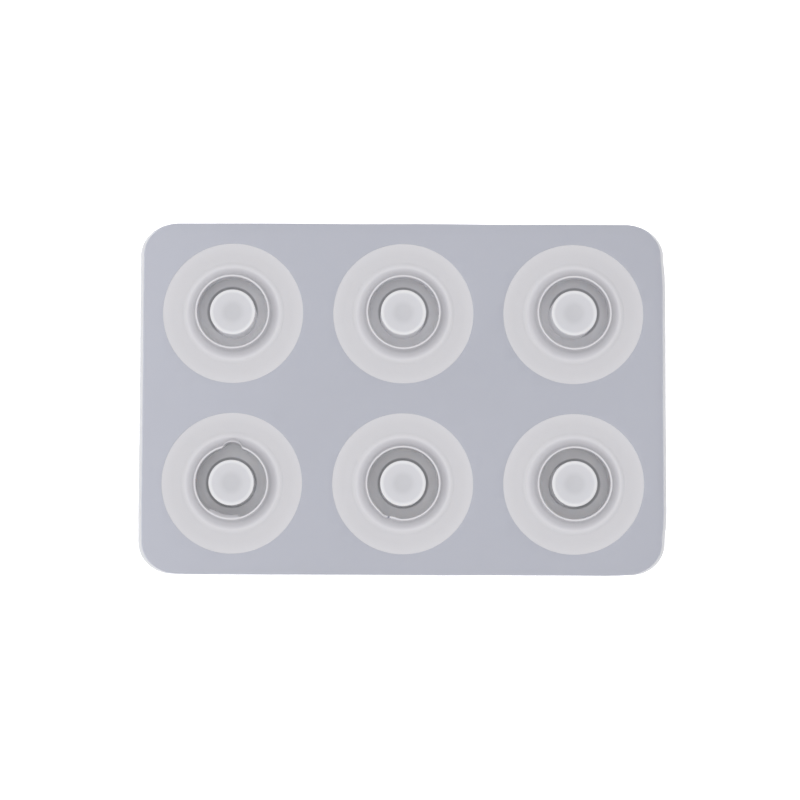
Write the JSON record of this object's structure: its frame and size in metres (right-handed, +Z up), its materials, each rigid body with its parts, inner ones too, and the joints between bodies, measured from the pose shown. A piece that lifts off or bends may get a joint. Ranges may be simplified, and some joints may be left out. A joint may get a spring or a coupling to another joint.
{
  "type": "resin casting mould",
  "caption": "Flexible silicone slab mould whose round cavities are poured through raised collars around central core posts, for casting low taper candle holders in resin.",
  "frame": {"origin": "middle of the underside, on the surface that the mould stands on", "axes": "+X along the three columns of cavities, +Y from the front row to the back row, +Z up out of the pour collars"},
  "size_m": [0.257, 0.1714, 0.0217],
  "materials": {
    "block_silicone": "soft translucent silicone, satin, cool grey where it is thick",
    "base_silicone": "soft translucent silicone, satin",
    "skin_silicone": "thin translucent silicone, frosted and nearly white",
    "collar_silicone": "soft translucent silicone, satin, with a glossy rim",
    "core_silicone": "soft translucent silicone, satin, with a frosted top"
  },
  "bodies": {
    "root": {"base_sheet": "base_silicone", "mould_block": "block_silicone", "cavity_skin_back_left": "skin_silicone", "pour_collar_back_left": "collar_silicone", "core_post_back_left": "core_silicone", "cavity_skin_back_middle": "skin_silicone", "pour_collar_back_middle": "collar_silicone", "core_post_back_middle": "core_silicone", "cavity_skin_back_right": "skin_silicone", "pour_collar_back_right": "collar_silicone", "core_post_back_right": "core_silicone", "cavity_skin_front_left": "skin_silicone", "pour_collar_front_left": "collar_silicone", "core_post_front_left": "core_silicone", "cavity_skin_front_middle": "skin_silicone", "pour_collar_front_middle": "collar_silicone", "core_post_front_middle": "core_silicone", "cavity_skin_front_right": "skin_silicone", "pour_collar_front_right": "collar_silicone", "core_post_front_right": "core_silicone"}
  },
  "joints": []
}
